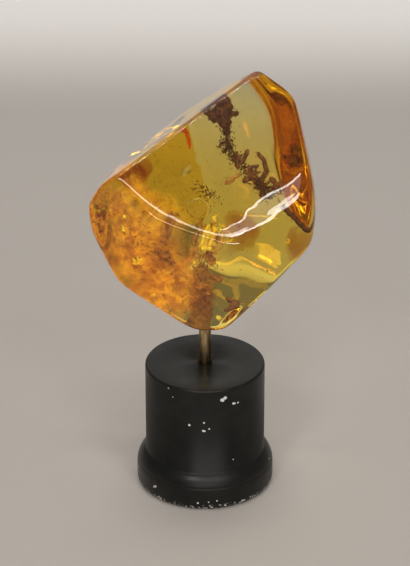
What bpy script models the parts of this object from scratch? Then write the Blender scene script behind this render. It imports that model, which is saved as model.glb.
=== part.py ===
"""A polished lump of copal, with insects and plant scraps sealed in it, on a brass rod in a turned stand.

The origin is the middle of the stand's underside, on the rod's axis. X runs to the right, Y to the back and
Z up, in metres. The clear lump is parted in two along a tilted plane, and what is sealed in it lies in pockets
on that plane.
"""

import math

import bmesh
import bpy
from mathutils import Matrix, Vector

MM = 0.001
UP = Vector((0.0, 0.0, 1.0))

# Joints between solids
GAP = 0.3 * MM

# Turned stand: a column on a flange with a quarter-round moulding
STAND_HEIGHT = 44.3 * MM
COLUMN_RADIUS = 20.0 * MM
COLUMN_RIM = 0.8 * MM
FLANGE_RADIUS = 23.0 * MM
FLANGE_HEIGHT = 6.3 * MM
MOULDING_RADIUS = 8.5 * MM
FOOT_CHAMFER = 0.8 * MM
STAND_SEGMENTS = 48

# Rod, and the cement that holds the stone on it
ROD_RADIUS = 2.0 * MM
ROD_CHAMFER = 0.3 * MM
ROD_IN_STAND = 19.7 * MM
ROD_TOP = 75.5 * MM
GLUE_RADIUS = 4.0 * MM
GLUE_BOTTOM = 60.4 * MM
GLUE_ROOF = 1.0 * MM
GLUE_CHAMFER = 0.9 * MM
ROD_SEGMENTS = 24

# The stone's ground facets, each by its bearing and its elevation in degrees and its distance in mm
# from the stone's centre. Bearings run from +X towards +Y, so the front faces -90.
STONE_CENTRE = Vector((-1.0, 4.4, 99.8)) * MM
STONE_BLANK = 140.0 * MM
FACETS = {
    "upper_front": (-81.0, 40.0, 22.2),
    "left_front": (-117.0, 3.5, 29.3),
    "middle_front": (-97.0, 0.0, 26.8),
    "right_front": (-73.5, 6.5, 29.1),
    "ridge_bevel": (-95.0, 21.0, 26.5),
    "right_shoulder": (-70.0, 24.0, 26.9),
    "top_left": (160.0, 53.4, 27.2),
    "top_right": (26.5, 50.0, 47.3),
    "right": (1.0, 14.0, 37.9),
    "lower_right": (-5.0, -4.0, 37.4),
    "right_under": (-15.0, -43.5, 31.8),
    "left_under": (-175.5, -27.0, 33.7),
    "under": (-152.5, -53.0, 34.2),
    "keel": (-85.0, -68.0, 39.4),
    "left_shoulder": (164.0, 31.0, 30.9),
    "back_left": (160.0, -8.0, 29.0),
    "back_left_inner": (132.0, -6.0, 17.2),
    "back_right": (45.0, 5.0, 32.0),
    "back_top_right": (55.0, 20.0, 35.5),
    "back_top": (88.0, 3.0, 22.0),
    "back": (84.0, -22.0, 27.5),
    "back_low": (103.0, -49.0, 29.0),
}
EDGE_RADIUS = 2.4 * MM
STONE_FLATNESS = 1.0

# The plane that parts the stone faces the front and leans back, 2.5 mm before the stone's centre
PARTING_LEAN = math.radians(17.0)
PARTING_FORWARD = 2.5 * MM
POCKET_CLEARANCE = 0.45 * MM
POCKET_FLATNESS = 12.0

# Fineness of the small solids sealed in the stone
FINE_GRID = 0.22 * MM
COARSE_GRID = 0.4 * MM
FUSE_KEEP = 0.2

# Plain finishes: how strongly clear ones bend light, then each one's colour
REFRACTION = 1.54
BLACK_PAINT = (0.012, 0.012, 0.011)
BRASS = (0.35, 0.21, 0.09)
CEMENT = (0.16, 0.075, 0.018)
COPAL = (0.95, 0.72, 0.14)
BARK = (0.055, 0.022, 0.010)
INSECT = (0.045, 0.017, 0.008)
WING = (0.34, 0.17, 0.05)
CRUMB = (0.13, 0.045, 0.012)


def clear_scene():
    """Removes every object that the file opens with."""
    for thing in list(bpy.data.objects):
        bpy.data.objects.remove(thing)


def new_collection(name):
    """Returns a new collection, linked to the scene."""
    collection = bpy.data.collections.new(name)
    bpy.context.scene.collection.children.link(collection)
    return collection


def new_material(name, colour, roughness, metallic=0.0, clear=0.0):
    """Returns a plain material of one colour; clear is how much light passes through."""
    material = bpy.data.materials.new(name)
    material.use_nodes = True
    shader = material.node_tree.nodes["Principled BSDF"]
    shader.inputs["Base Color"].default_value = (*colour, 1.0)
    shader.inputs["Roughness"].default_value = roughness
    shader.inputs["Metallic"].default_value = metallic
    shader.inputs["Transmission Weight"].default_value = clear
    shader.inputs["IOR"].default_value = REFRACTION
    return material


def add_object(name, shape, collection, material=None):
    """Makes an object of a bmesh, which it frees."""
    mesh = bpy.data.meshes.new(name)
    shape.to_mesh(mesh)
    shape.free()
    if material:
        mesh.materials.append(material)
    thing = bpy.data.objects.new(name, mesh)
    collection.objects.link(thing)
    return thing


def arc(centre, radius, start, end, count):
    """Points along an arc in the plane of a profile, with angles in degrees from +X."""
    points = []
    for step in range(count + 1):
        angle = math.radians(start + (end - start) * step / count)
        points.append((centre[0] + radius * math.cos(angle), centre[1] + radius * math.sin(angle)))
    return points


def turned(name, profile, segments, collection, material=None):
    """Makes a turned piece of a profile of (radius, height) points that ends on the axis at both ends."""
    shape = bmesh.new()
    corners = [shape.verts.new((radius, 0.0, height)) for radius, height in profile]
    for upper, lower in zip(corners, corners[1:]):
        shape.edges.new((upper, lower))
    thing = add_object(name, shape, collection, material)
    screw = thing.modifiers.new("turn", "SCREW")
    screw.axis = "Z"
    screw.steps = screw.render_steps = segments
    screw.use_merge_vertices = True
    screw.merge_threshold = 0.00001
    screw.use_smooth_shade = True
    return thing


def build_stand(collection, material):
    """The turned column, its moulding and its foot, with a blind hole for the rod."""
    hole_radius = ROD_RADIUS + GAP
    hole_floor = STAND_HEIGHT - ROD_IN_STAND - GAP
    moulding_centre = (FLANGE_RADIUS - MOULDING_RADIUS, FLANGE_HEIGHT)
    moulding_end = math.degrees(math.acos((COLUMN_RADIUS - moulding_centre[0]) / MOULDING_RADIUS))
    rim_centre = (COLUMN_RADIUS - COLUMN_RIM, STAND_HEIGHT - COLUMN_RIM)
    profile = [(0.0, hole_floor), (hole_radius, hole_floor), (hole_radius, STAND_HEIGHT)]
    profile += arc(rim_centre, COLUMN_RIM, 90.0, 0.0, 3)
    profile += arc(moulding_centre, MOULDING_RADIUS, moulding_end, 0.0, 6)
    profile += [(FLANGE_RADIUS, FOOT_CHAMFER), (FLANGE_RADIUS - FOOT_CHAMFER, 0.0), (0.0, 0.0)]
    return turned("stand", profile, STAND_SEGMENTS, collection, material)


def build_rod(collection, material):
    """The brass rod, from the bottom of the hole in the stand to inside the stone."""
    bottom = STAND_HEIGHT - ROD_IN_STAND
    inner = ROD_RADIUS - ROD_CHAMFER
    profile = [
        (0.0, ROD_TOP),
        (inner, ROD_TOP),
        (ROD_RADIUS, ROD_TOP - ROD_CHAMFER),
        (ROD_RADIUS, bottom + ROD_CHAMFER),
        (inner, bottom),
        (0.0, bottom),
    ]
    return turned("rod", profile, ROD_SEGMENTS, collection, material)


def build_glue(collection, material):
    """The cement that fills the drilled hole round the rod and over its end."""
    inner_radius = ROD_RADIUS + GAP
    inner_top = ROD_TOP + GAP
    top = inner_top + GLUE_ROOF
    profile = [
        (0.0, top),
        (GLUE_RADIUS - GLUE_CHAMFER, top),
        (GLUE_RADIUS, top - GLUE_CHAMFER),
        (GLUE_RADIUS, GLUE_BOTTOM),
        (inner_radius, GLUE_BOTTOM),
        (inner_radius, inner_top),
        (0.0, inner_top),
    ]
    return turned("mounting_glue", profile, ROD_SEGMENTS, collection, material)


def build_bore(collection):
    """The cutter for the hole drilled up into the stone."""
    bore_top = ROD_TOP + GAP + GLUE_ROOF + GAP
    bore_bottom = STAND_HEIGHT
    bore_radius = GLUE_RADIUS + GAP
    shape = bmesh.new()
    middle = Matrix.Translation(UP * (bore_top + bore_bottom) / 2)
    bmesh.ops.create_cone(
        shape,
        cap_ends=True,
        segments=ROD_SEGMENTS,
        radius1=bore_radius,
        radius2=bore_radius,
        depth=bore_top - bore_bottom,
        matrix=middle,
    )
    return as_cutter(add_object("bore", shape, collection))


def as_cutter(thing):
    """Keeps a cutter out of the finished part."""
    thing.hide_render = True
    thing.display_type = "WIRE"
    return thing


def facet_normal(bearing, elevation):
    """The outward direction of a facet, from its bearing and elevation in degrees."""
    turn = math.radians(bearing)
    rise = math.radians(elevation)
    return Vector((math.cos(rise) * math.cos(turn), math.cos(rise) * math.sin(turn), math.sin(rise)))


def cut_flat(shape, point, normal):
    """Cuts off what lies beyond a plane and closes the cut."""
    everything = shape.verts[:] + shape.edges[:] + shape.faces[:]
    cut = bmesh.ops.bisect_plane(
        shape, geom=everything, dist=1e-7, plane_co=point, plane_no=normal, clear_outer=True
    )
    rim = [item for item in cut["geom_cut"] if isinstance(item, bmesh.types.BMEdge)]
    if rim:
        bmesh.ops.edgeloop_fill(shape, edges=rim)


def wrap(shape, flatness):
    """Replaces a bmesh by the tightest convex skin round its points, with near-flat faces joined."""
    bmesh.ops.delete(shape, geom=shape.edges[:] + shape.faces[:], context="EDGES_FACES")
    bmesh.ops.convex_hull(shape, input=shape.verts[:])
    inside = [corner for corner in shape.verts if not corner.link_faces]
    bmesh.ops.delete(shape, geom=inside, context="VERTS")
    bmesh.ops.dissolve_limit(
        shape, angle_limit=math.radians(flatness), verts=shape.verts[:], edges=shape.edges[:]
    )
    bmesh.ops.recalc_face_normals(shape, faces=shape.faces[:])


def ground_stone():
    """The whole stone as a bmesh, with flat facets and polished edges.

    A block is ground on every facet, short of its surface by the radius of the edges. A ball of that radius
    at each of its corners, all wrapped in one skin, gives the facets their place and the edges their round.
    """
    block = bmesh.new()
    bmesh.ops.create_cube(block, size=STONE_BLANK, matrix=Matrix.Translation(STONE_CENTRE))
    for bearing, elevation, distance in FACETS.values():
        normal = facet_normal(bearing, elevation)
        cut_flat(block, STONE_CENTRE + normal * (distance * MM - EDGE_RADIUS), normal)
    shape = bmesh.new()
    for corner in block.verts:
        place = Matrix.Translation(corner.co)
        bmesh.ops.create_icosphere(shape, subdivisions=2, radius=EDGE_RADIUS, matrix=place)
    block.free()
    wrap(shape, STONE_FLATNESS)
    return shape


def parting_frame():
    """The frame of the parting plane: X across, Y up along the plane, Z to the front."""
    across = Vector((1.0, 0.0, 0.0))
    outward = Vector((0.0, -math.cos(PARTING_LEAN), math.sin(PARTING_LEAN)))
    frame = Matrix((across, outward.cross(across), outward)).transposed().to_4x4()
    frame.translation = STONE_CENTRE + outward * PARTING_FORWARD
    return frame


def build_stone_half(name, side, pockets, collection, material):
    """One half of the stone; side is 1 for the front and -1 for the back."""
    frame = parting_frame()
    outward = frame.col[2].to_3d()
    shape = ground_stone()
    cut_flat(shape, frame.translation + outward * side * GAP / 2, outward * -side)
    half = add_object(name, shape, collection, material)
    hollow = half.modifiers.new("pockets", "BOOLEAN")
    hollow.operation = "DIFFERENCE"
    hollow.solver = "EXACT"
    hollow.operand_type = "COLLECTION"
    hollow.collection = pockets
    return half


class Modeller:
    """Builds a sealed piece of overlapping lumps and limbs, in mm on the parting plane."""

    def __init__(self, grow=0.0):
        self.shape = bmesh.new()
        self.grow = grow

    def lump(self, centre, radii, turn=0.0):
        """Adds an egg with its three half-sizes, turned in the plane by some degrees."""
        place = Matrix.Translation(Vector(centre) * MM)
        spin = Matrix.Rotation(math.radians(turn), 4, "Z")
        size = [radius * MM + self.grow for radius in radii]
        stretch = Matrix.Diagonal((*size, 1.0))
        bmesh.ops.create_icosphere(self.shape, subdivisions=2, radius=1.0, matrix=place @ spin @ stretch)

    def limb(self, points, thick, thin):
        """Adds a leg or twig through some points, tapering from one radius to another."""
        runs = len(points) - 1
        for index, (start, end) in enumerate(zip(points, points[1:])):
            first = thick + (thin - thick) * index / runs
            last = thick + (thin - thick) * (index + 1) / runs
            self.run(Vector(start) * MM, Vector(end) * MM, first * MM, last * MM)
            self.lump(end, (last, last, last))

    def run(self, start, end, first, last):
        """Adds one straight tapering run of a limb."""
        along = end - start
        place = Matrix.Translation((start + end) / 2) @ along.to_track_quat("Z", "Y").to_matrix().to_4x4()
        bmesh.ops.create_cone(
            self.shape,
            cap_ends=True,
            segments=8,
            radius1=first + self.grow,
            radius2=last + self.grow,
            depth=along.length,
            matrix=place,
        )

    def ant(self, middle, heading, length, depth=0.0, legs=3):
        """Adds an ant lying in the plane: three swellings, pairs of bent legs and two feelers."""
        unit = length / 6.0
        turn = math.radians(heading)

        def spot(along, across, out=0.0):
            x = middle[0] + unit * (along * math.cos(turn) - across * math.sin(turn))
            y = middle[1] + unit * (along * math.sin(turn) + across * math.cos(turn))
            return (x, y, depth + unit * out)

        self.lump(spot(-1.75, 0.0), (1.3 * unit, 0.85 * unit, 0.8 * unit), heading)
        self.lump(spot(0.2, 0.0), (1.1 * unit, 0.55 * unit, 0.55 * unit), heading)
        self.lump(spot(1.8, 0.0), (0.75 * unit, 0.68 * unit, 0.55 * unit), heading)
        for pair in range(legs):
            root = 0.7 - 0.55 * pair
            reach = 1.1 - 1.0 * pair
            for side in (-1.0, 1.0):
                knee = spot(root + reach * 0.5, side * 1.25, 0.25)
                foot = spot(root + reach, side * 2.2, -0.1)
                self.limb([spot(root, side * 0.3), knee, foot], 0.3 * unit, 0.26 * unit)
        for side in (-1.0, 1.0):
            self.limb([spot(2.2, side * 0.3), spot(3.2, side * 0.8)], 0.26 * unit, 0.24 * unit)


def bark_clump(tool):
    """A dark clump of bark near the top, with stubs to each side."""
    tool.lump((7.2, 33.6, 0.0), (1.9, 2.2, 1.1))
    tool.lump((6.2, 30.4, 0.0), (2.7, 2.5, 1.4), 20.0)
    tool.lump((6.9, 27.2, 0.1), (2.3, 2.3, 1.3), -15.0)
    tool.lump((7.6, 24.2, 0.0), (1.1, 1.8, 0.8))
    tool.lump((3.4, 28.0, -0.1), (1.9, 1.1, 0.7), -25.0)
    tool.lump((9.0, 32.0, 0.1), (0.9, 1.2, 0.8))
    tool.limb([(5.0, 29.8, 0.0), (2.6, 29.9, 0.1), (0.9, 29.4, 0.0)], 0.7, 0.5)
    tool.limb([(6.2, 34.2, 0.0), (3.6, 32.6, 0.1), (1.9, 30.8, 0.0), (0.9, 29.4, 0.0)], 0.5, 0.5)
    tool.limb([(8.2, 29.4, 0.0), (10.9, 30.2, 0.2)], 0.6, 0.75)


def rootlet(tool):
    """A thin curling thread of root below the clump."""
    tool.limb([(7.9, 21.7, 0.0), (7.2, 20.4, 0.2), (8.6, 19.4, 0.0), (9.0, 18.3, -0.2)], 0.42, 0.32)
    tool.limb([(7.2, 20.4, 0.2), (5.6, 19.8, 0.0), (5.0, 18.6, 0.1)], 0.32, 0.26)
    tool.limb([(8.6, 19.4, 0.0), (7.2, 18.2, 0.1), (6.4, 16.8, 0.0)], 0.32, 0.26)


def ant_upper(tool):
    """An ant that points up, with one long leg raised to the right."""
    tool.ant((10.6, 14.2), 97.0, 5.2, 0.1, legs=2)
    tool.limb([(11.0, 13.0, 0.1), (12.9, 14.2, 0.1), (14.2, 17.4, 0.1)], 0.55, 0.5)


def ant_middle(tool):
    """The darkest insect, which lies aslant in the middle of the swarm."""
    tool.ant((15.0, 8.9), 41.0, 6.0, 1.0, legs=2)
    tool.limb([(15.6, 9.6, 1.0), (14.6, 12.0, 1.1), (17.4, 12.6, 1.0)], 0.5, 0.4)


def wing_scrap(tool):
    """A flat tan scrap, of a wing or a bud scale."""
    tool.lump((8.3, 7.2, -0.4), (2.4, 0.95, 0.35), 33.0)
    tool.lump((10.9, 8.9, -0.4), (2.0, 0.7, 0.35), 32.0)


def ant_lower(tool):
    """A broad insect that hangs down, with one leg arched above it."""
    tool.ant((18.6, 4.6), 94.0, 6.4, -0.9, legs=2)
    tool.limb([(18.5, 7.2, -0.9), (20.3, 10.6, -0.4), (19.5, 14.2, 0.0), (17.6, 16.6, 0.2)], 0.62, 0.42)


def ant_side(tool):
    """A slim insect at the swarm's lower right."""
    tool.ant((23.3, 6.6), -50.0, 5.6, 0.9, legs=2)


def bark_splinter(tool):
    """A dark splinter of bark near the right side."""
    tool.limb([(24.6, 0.0, 0.0), (28.4, -3.4, 0.0), (31.5, -7.4, 0.0)], 1.0, 0.75)
    tool.lump((26.6, -1.9, 0.1), (1.6, 1.1, 0.9), -42.0)


def gnat(tool):
    """A small dark fly near the bottom, bent double."""
    tool.lump((9.6, -27.3, 0.0), (1.15, 0.55, 0.5), -40.0)
    tool.lump((11.2, -28.4, 0.0), (0.9, 0.75, 0.6), -40.0)
    tool.lump((11.4, -29.6, 0.0), (0.7, 0.7, 0.55))
    tool.limb([(11.0, -29.8, 0.0), (9.9, -30.4, 0.1), (8.7, -31.0, 0.0)], 0.5, 0.38)
    tool.limb([(11.2, -28.4, 0.0), (10.0, -29.2, 0.1)], 0.26, 0.22)


def twig(tool):
    """A short bent twig at the left."""
    tool.limb([(-11.2, -8.2, 0.0), (-10.2, -6.6, 0.0), (-9.5, -5.0, 0.0), (-10.6, -3.5, 0.0)], 0.95, 0.75)


def crumb_left(tool):
    """A soft brown crumb below the twig."""
    tool.lump((-10.7, -12.6, 0.0), (2.2, 1.3, 1.0), -25.0)
    tool.lump((-12.8, -11.0, 0.1), (1.1, 0.9, 0.7), 30.0)
    tool.lump((-8.6, -14.4, -0.1), (1.3, 0.9, 0.7), -30.0)
    tool.lump((-10.0, -11.2, 0.2), (0.9, 0.8, 0.6))


def crumb_middle(tool):
    """A red-brown crumb above the rod."""
    tool.lump((3.0, -10.8, 0.0), (1.6, 2.1, 1.0), 15.0)
    tool.lump((4.3, -13.8, 0.1), (1.3, 1.7, 0.9), 20.0)
    tool.lump((2.2, -8.7, -0.1), (0.8, 1.0, 0.6), -20.0)
    tool.lump((1.6, -12.2, 0.1), (0.9, 0.7, 0.6))


def crumb_low(tool):
    """A flat brown crumb just above the end of the rod."""
    tool.lump((3.4, -19.0, 0.0), (2.4, 0.9, 0.8), 5.0)
    tool.lump((6.2, -20.0, 0.1), (1.4, 1.7, 0.8), 30.0)


# Each sealed piece with its finish and the grid that its skin is fused on
SEALED = {
    bark_clump: ("bark", COARSE_GRID),
    rootlet: ("bark", FINE_GRID),
    ant_upper: ("insect", FINE_GRID),
    ant_middle: ("insect", FINE_GRID),
    wing_scrap: ("wing", FINE_GRID),
    ant_lower: ("insect", FINE_GRID),
    ant_side: ("insect", FINE_GRID),
    bark_splinter: ("bark", COARSE_GRID),
    gnat: ("insect", FINE_GRID),
    twig: ("bark", COARSE_GRID),
    crumb_left: ("crumb", COARSE_GRID),
    crumb_middle: ("crumb", COARSE_GRID),
    crumb_low: ("crumb", COARSE_GRID),
}


def build_sealed(draw, grid, collection, material):
    """One piece sealed in the stone: its lumps and limbs fused into one closed skin."""
    tool = Modeller()
    draw(tool)
    piece = add_object(draw.__name__, tool.shape, collection, material)
    piece.matrix_world = parting_frame()
    fuse = piece.modifiers.new("fuse", "REMESH")
    fuse.mode = "VOXEL"
    fuse.voxel_size = grid
    thin = piece.modifiers.new("thin", "DECIMATE")
    thin.ratio = FUSE_KEEP
    return piece


def build_pocket(draw, collection):
    """The cutter for the pocket that a sealed piece lies in."""
    tool = Modeller(POCKET_CLEARANCE)
    draw(tool)
    wrap(tool.shape, POCKET_FLATNESS)
    pocket = add_object(draw.__name__ + "_pocket", tool.shape, collection)
    pocket.matrix_world = parting_frame()
    return as_cutter(pocket)


def main():
    """Builds the stand, the rod, the parted stone and what is sealed in it."""
    clear_scene()
    part = new_collection("copal")
    cutters = new_collection("cutters")
    finishes = {
        "bark": new_material("bark", BARK, 0.7),
        "insect": new_material("insect", INSECT, 0.5),
        "wing": new_material("wing", WING, 0.5),
        "crumb": new_material("crumb", CRUMB, 0.7),
    }
    copal = new_material("copal", COPAL, 0.02, clear=1.0)

    build_stand(part, new_material("black_paint", BLACK_PAINT, 0.4))
    build_rod(part, new_material("brass", BRASS, 0.35, metallic=1.0))
    build_glue(part, new_material("cement", CEMENT, 0.6))
    build_bore(cutters)
    for draw, (finish, grid) in SEALED.items():
        build_sealed(draw, grid, part, finishes[finish])
        build_pocket(draw, cutters)
    build_stone_half("copal_front", 1, cutters, part, copal)
    build_stone_half("copal_back", -1, cutters, part, copal)


main()
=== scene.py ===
"""Looks of a polished lump of copal, with insects and bark sealed in it, on a brass rod in a painted stand.

Everything is in metres, +Z up, in the part's own frame. The origin is the middle of the stand's underside, on
the rod's axis, and the stone's two large facets face the front, -Y.
"""

import logging
import math
import random
from dataclasses import dataclass, field
from enum import Enum
from functools import reduce
from itertools import product

import bmesh
import bpy
import numpy as np
from mathutils import Matrix, Vector, noise


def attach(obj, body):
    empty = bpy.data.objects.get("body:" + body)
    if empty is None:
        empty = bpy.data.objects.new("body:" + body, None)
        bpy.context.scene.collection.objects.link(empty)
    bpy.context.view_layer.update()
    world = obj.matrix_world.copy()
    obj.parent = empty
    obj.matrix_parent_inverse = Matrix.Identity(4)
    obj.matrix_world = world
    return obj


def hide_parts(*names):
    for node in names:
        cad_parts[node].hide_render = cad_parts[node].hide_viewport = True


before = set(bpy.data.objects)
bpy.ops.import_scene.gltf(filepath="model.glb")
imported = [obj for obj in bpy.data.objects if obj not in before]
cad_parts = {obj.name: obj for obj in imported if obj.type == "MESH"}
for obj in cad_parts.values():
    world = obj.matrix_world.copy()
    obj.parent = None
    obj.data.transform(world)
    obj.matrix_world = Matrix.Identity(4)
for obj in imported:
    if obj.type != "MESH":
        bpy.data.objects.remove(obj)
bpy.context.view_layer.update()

MM = 0.001
WELD = 0.001 * MM
BODY = "root"
log = logging.getLogger("copal")

# Red, green and blue, from 0 to 1
Colour = tuple[float, float, float]
# Three coordinates or sizes
Point = tuple[float, float, float]
# A lowest and a highest value, a middle and a spread, or a place in a plane
Pair = tuple[float, float]
# Layers of noise: how many waves fit in a unit, and how strong the layer is
Layers = tuple[Pair, ...]
# A centre, and a radius round it
Spot = tuple[Point, float]
Socket = bpy.types.NodeSocket

# The part of a noise's range over which a soft change or a mottle happens
SOFT = (0.3, 0.7)
MOTTLED = (0.35, 0.65)
# Directions in a turned profile, in degrees from outwards
OUT = 0.0
UP = 90.0
DOWN = -90.0


class Slot(Enum):
    """The record's material slots."""

    PAINT = "black_paint"
    BRASS = "brass"
    CEMENT = "cement"
    COPAL = "copal"
    BARK = "bark"
    INSECT = "insect"
    WING = "wing"
    CRUMB = "crumb"


class Recipe:
    """A material being mixed: its node tree, its shader and short ways to add to them."""

    def __init__(self, name: str) -> None:
        """Starts from a plain shader.

        Args:
            name: the material's name.
        """
        self.material = bpy.data.materials.new(name)
        self.material.use_nodes = True
        self.tree = self.material.node_tree
        self.shader = self.tree.nodes["Principled BSDF"]
        self.output = self.tree.nodes["Material Output"]
        self.place = self.add("ShaderNodeTexCoord").outputs["Object"]

    def add(self, kind: str, **settings: object) -> bpy.types.Node:
        """Adds a node.

        Args:
            kind: the node's type.
            settings: properties of the node and their values.

        Returns:
            The new node.
        """
        node = self.tree.nodes.new(kind)
        for name, value in settings.items():
            setattr(node, name, value)
        return node

    def link(self, source: Socket, target: Socket) -> None:
        """Joins an output to an input."""
        self.tree.links.new(source, target)

    def set(self, **values: object) -> None:
        """Sets the shader's own sockets; an underscore stands for a space in a socket's name."""
        for name, value in values.items():
            socket = self.shader.inputs[name.replace("_", " ")]
            socket.default_value = (*value, 1.0) if isinstance(value, tuple) else value

    def feed(self, socket: str, source: Socket) -> None:
        """Links a source to one of the shader's sockets."""
        self.link(source, self.shader.inputs[socket])

    def stretched(self, scale: Point) -> Socket:
        """Object coordinates, scaled along each axis."""
        mapping = self.add("ShaderNodeMapping")
        self.link(self.place, mapping.inputs["Vector"])
        mapping.inputs["Scale"].default_value = scale
        return mapping.outputs["Vector"]

    def axis(self, name: str) -> Socket:
        """One of the object coordinates, by its letter."""
        split = self.add("ShaderNodeSeparateXYZ")
        self.link(self.place, split.inputs["Vector"])
        return split.outputs[name]

    def away_from(self, centre: Point) -> Socket:
        """How far a point lies from a centre."""
        away = self.add("ShaderNodeVectorMath", operation="DISTANCE")
        self.link(self.place, away.inputs[0])
        away.inputs[1].default_value = centre
        return away.outputs["Value"]

    def noise(
        self, scale: float, detail: float = 4.0, rough: float = 0.55, where: Socket | None = None
    ) -> Socket:
        """A cloudy pattern from 0 to 1.

        Args:
            scale: how many waves fit in a metre.
            detail: how many finer layers it has.
            rough: how strong the finer layers are.
            where: coordinates, or None for the object's own.

        Returns:
            The socket of the pattern's value.
        """
        texture = self.add("ShaderNodeTexNoise")
        self.link(where or self.place, texture.inputs["Vector"])
        texture.inputs["Scale"].default_value = scale
        texture.inputs["Detail"].default_value = detail
        texture.inputs["Roughness"].default_value = rough
        return texture.outputs["Fac"]

    def ramp(
        self, source: Socket, low: float, high: float, start: float = 0.0, end: float = 1.0
    ) -> Socket:
        """Maps a value smoothly from one span to another.

        Args:
            source: the value.
            low: where the source's span starts.
            high: where the source's span ends.
            start: the result at low.
            end: the result at high.

        Returns:
            The socket of the result.
        """
        span = self.add("ShaderNodeMapRange", interpolation_type="SMOOTHSTEP", clamp=True)
        self.link(source, span.inputs["Value"])
        span.inputs["From Min"].default_value = low
        span.inputs["From Max"].default_value = high
        span.inputs["To Min"].default_value = start
        span.inputs["To Max"].default_value = end
        return span.outputs["Result"]

    def math(self, how: str, *terms: Socket | float) -> Socket:
        """Works out a value from one or two others."""
        step = self.add("ShaderNodeMath", operation=how)
        for index, term in enumerate(terms):
            if isinstance(term, Socket):
                self.link(term, step.inputs[index])
            else:
                step.inputs[index].default_value = term
        return step.outputs["Value"]

    def largest(self, values: list[Socket]) -> Socket:
        """The largest of some values."""
        return reduce(lambda first, second: self.math("MAXIMUM", first, second), values)

    def blend(self, share: Socket, first: Colour | Socket, second: Colour | Socket) -> Socket:
        """Mixes two colours.

        Args:
            share: how much of the second shows, from 0 to 1.
            first: the colour at 0.
            second: the colour at 1.

        Returns:
            The socket of the mixed colour.
        """
        mix = self.add("ShaderNodeMix", data_type="RGBA")
        self.link(share, mix.inputs["Factor"])
        for name, colour in (("A", first), ("B", second)):
            socket = next(s for s in mix.inputs if s.name == name and s.type == "RGBA")
            if isinstance(colour, Socket):
                self.link(colour, socket)
            else:
                socket.default_value = (*colour, 1.0)
        return next(s for s in mix.outputs if s.type == "RGBA")

    def ball(self, centre: Point, radius: float, soft: float) -> Socket:
        """1 inside a ball and 0 outside it.

        Args:
            centre: the ball's centre.
            radius: its radius.
            soft: how wide its edge fades.

        Returns:
            The socket of the value.
        """
        return self.ramp(self.away_from(centre), radius - soft, radius + soft, 1.0, 0.0)

    def mottle(self, pattern: Socket, span: Pair, first: Colour, second: Colour) -> None:
        """Colours the surface by a pattern.

        Args:
            pattern: the pattern.
            span: where in it the colour changes.
            first: the colour below the span.
            second: the colour above it.
        """
        self.feed("Base Color", self.blend(self.ramp(pattern, *span), first, second))

    def sheen(self, pattern: Socket, roughness: float, change: Pair) -> None:
        """Lets the roughness vary with a pattern.

        Args:
            pattern: the pattern, from 0 to 1.
            roughness: the usual roughness.
            change: what is added to it at the pattern's low and high ends.
        """
        self.feed("Roughness", self.ramp(pattern, *SOFT, roughness + change[0], roughness + change[1]))

    def absorb(self, passed: Colour, density: float) -> None:
        """Fills the piece with a colour that deepens with its thickness.

        Args:
            passed: the colour that passes best.
            density: how fast the others are taken up, for a metre.
        """
        volume = self.add("ShaderNodeVolumeAbsorption")
        volume.inputs["Color"].default_value = (*passed, 1.0)
        volume.inputs["Density"].default_value = density
        self.link(volume.outputs["Volume"], self.output.inputs["Volume"])

    def bump(self, height: Socket, depth: float) -> None:
        """Raises the surface by a pattern.

        Args:
            height: the pattern, from 0 to 1.
            depth: how far 1 stands above 0.
        """
        bump = self.add("ShaderNodeBump")
        self.link(height, bump.inputs["Height"])
        bump.inputs["Distance"].default_value = depth
        self.feed("Normal", bump.outputs["Normal"])


@dataclass(frozen=True)
class CopalFinish:
    """Clear golden resin with a hand polish, warmer in some places."""

    refraction: float = 1.54
    roughness: float = 0.012
    passed: Colour = (0.990, 0.872, 0.075)
    density: float = 55.0
    clear: Colour = (1.0, 1.0, 1.0)
    warm: Colour = (1.0, 0.66, 0.28)
    warm_places: tuple[Spot, ...] = (
        ((-0.034, -0.002, 0.103), 0.016),
        ((-0.022, -0.010, 0.082), 0.020),
        ((-0.006, -0.012, 0.064), 0.012),
    )
    warm_edge: float = 0.6
    warm_grain: float = 90.0
    warm_least: float = 0.55
    polish_grain: float = 55.0
    polish_relief: float = 0.06 * MM

    def mix(self) -> bpy.types.Material:
        """Returns the material."""
        recipe = Recipe("clear_copal")
        recipe.set(IOR=self.refraction, Transmission_Weight=1.0, Roughness=self.roughness)
        places = [recipe.ball(centre, radius, radius * self.warm_edge) for centre, radius in self.warm_places]
        cloudy = recipe.ramp(recipe.noise(self.warm_grain, detail=3.0), *SOFT, self.warm_least, 1.0)
        warmth = recipe.math("MULTIPLY", recipe.largest(places), cloudy)
        recipe.feed("Base Color", recipe.blend(warmth, self.clear, self.warm))
        recipe.bump(recipe.noise(self.polish_grain, detail=2.0, rough=0.4), self.polish_relief)
        recipe.absorb(self.passed, self.density)
        return recipe.material


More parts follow.
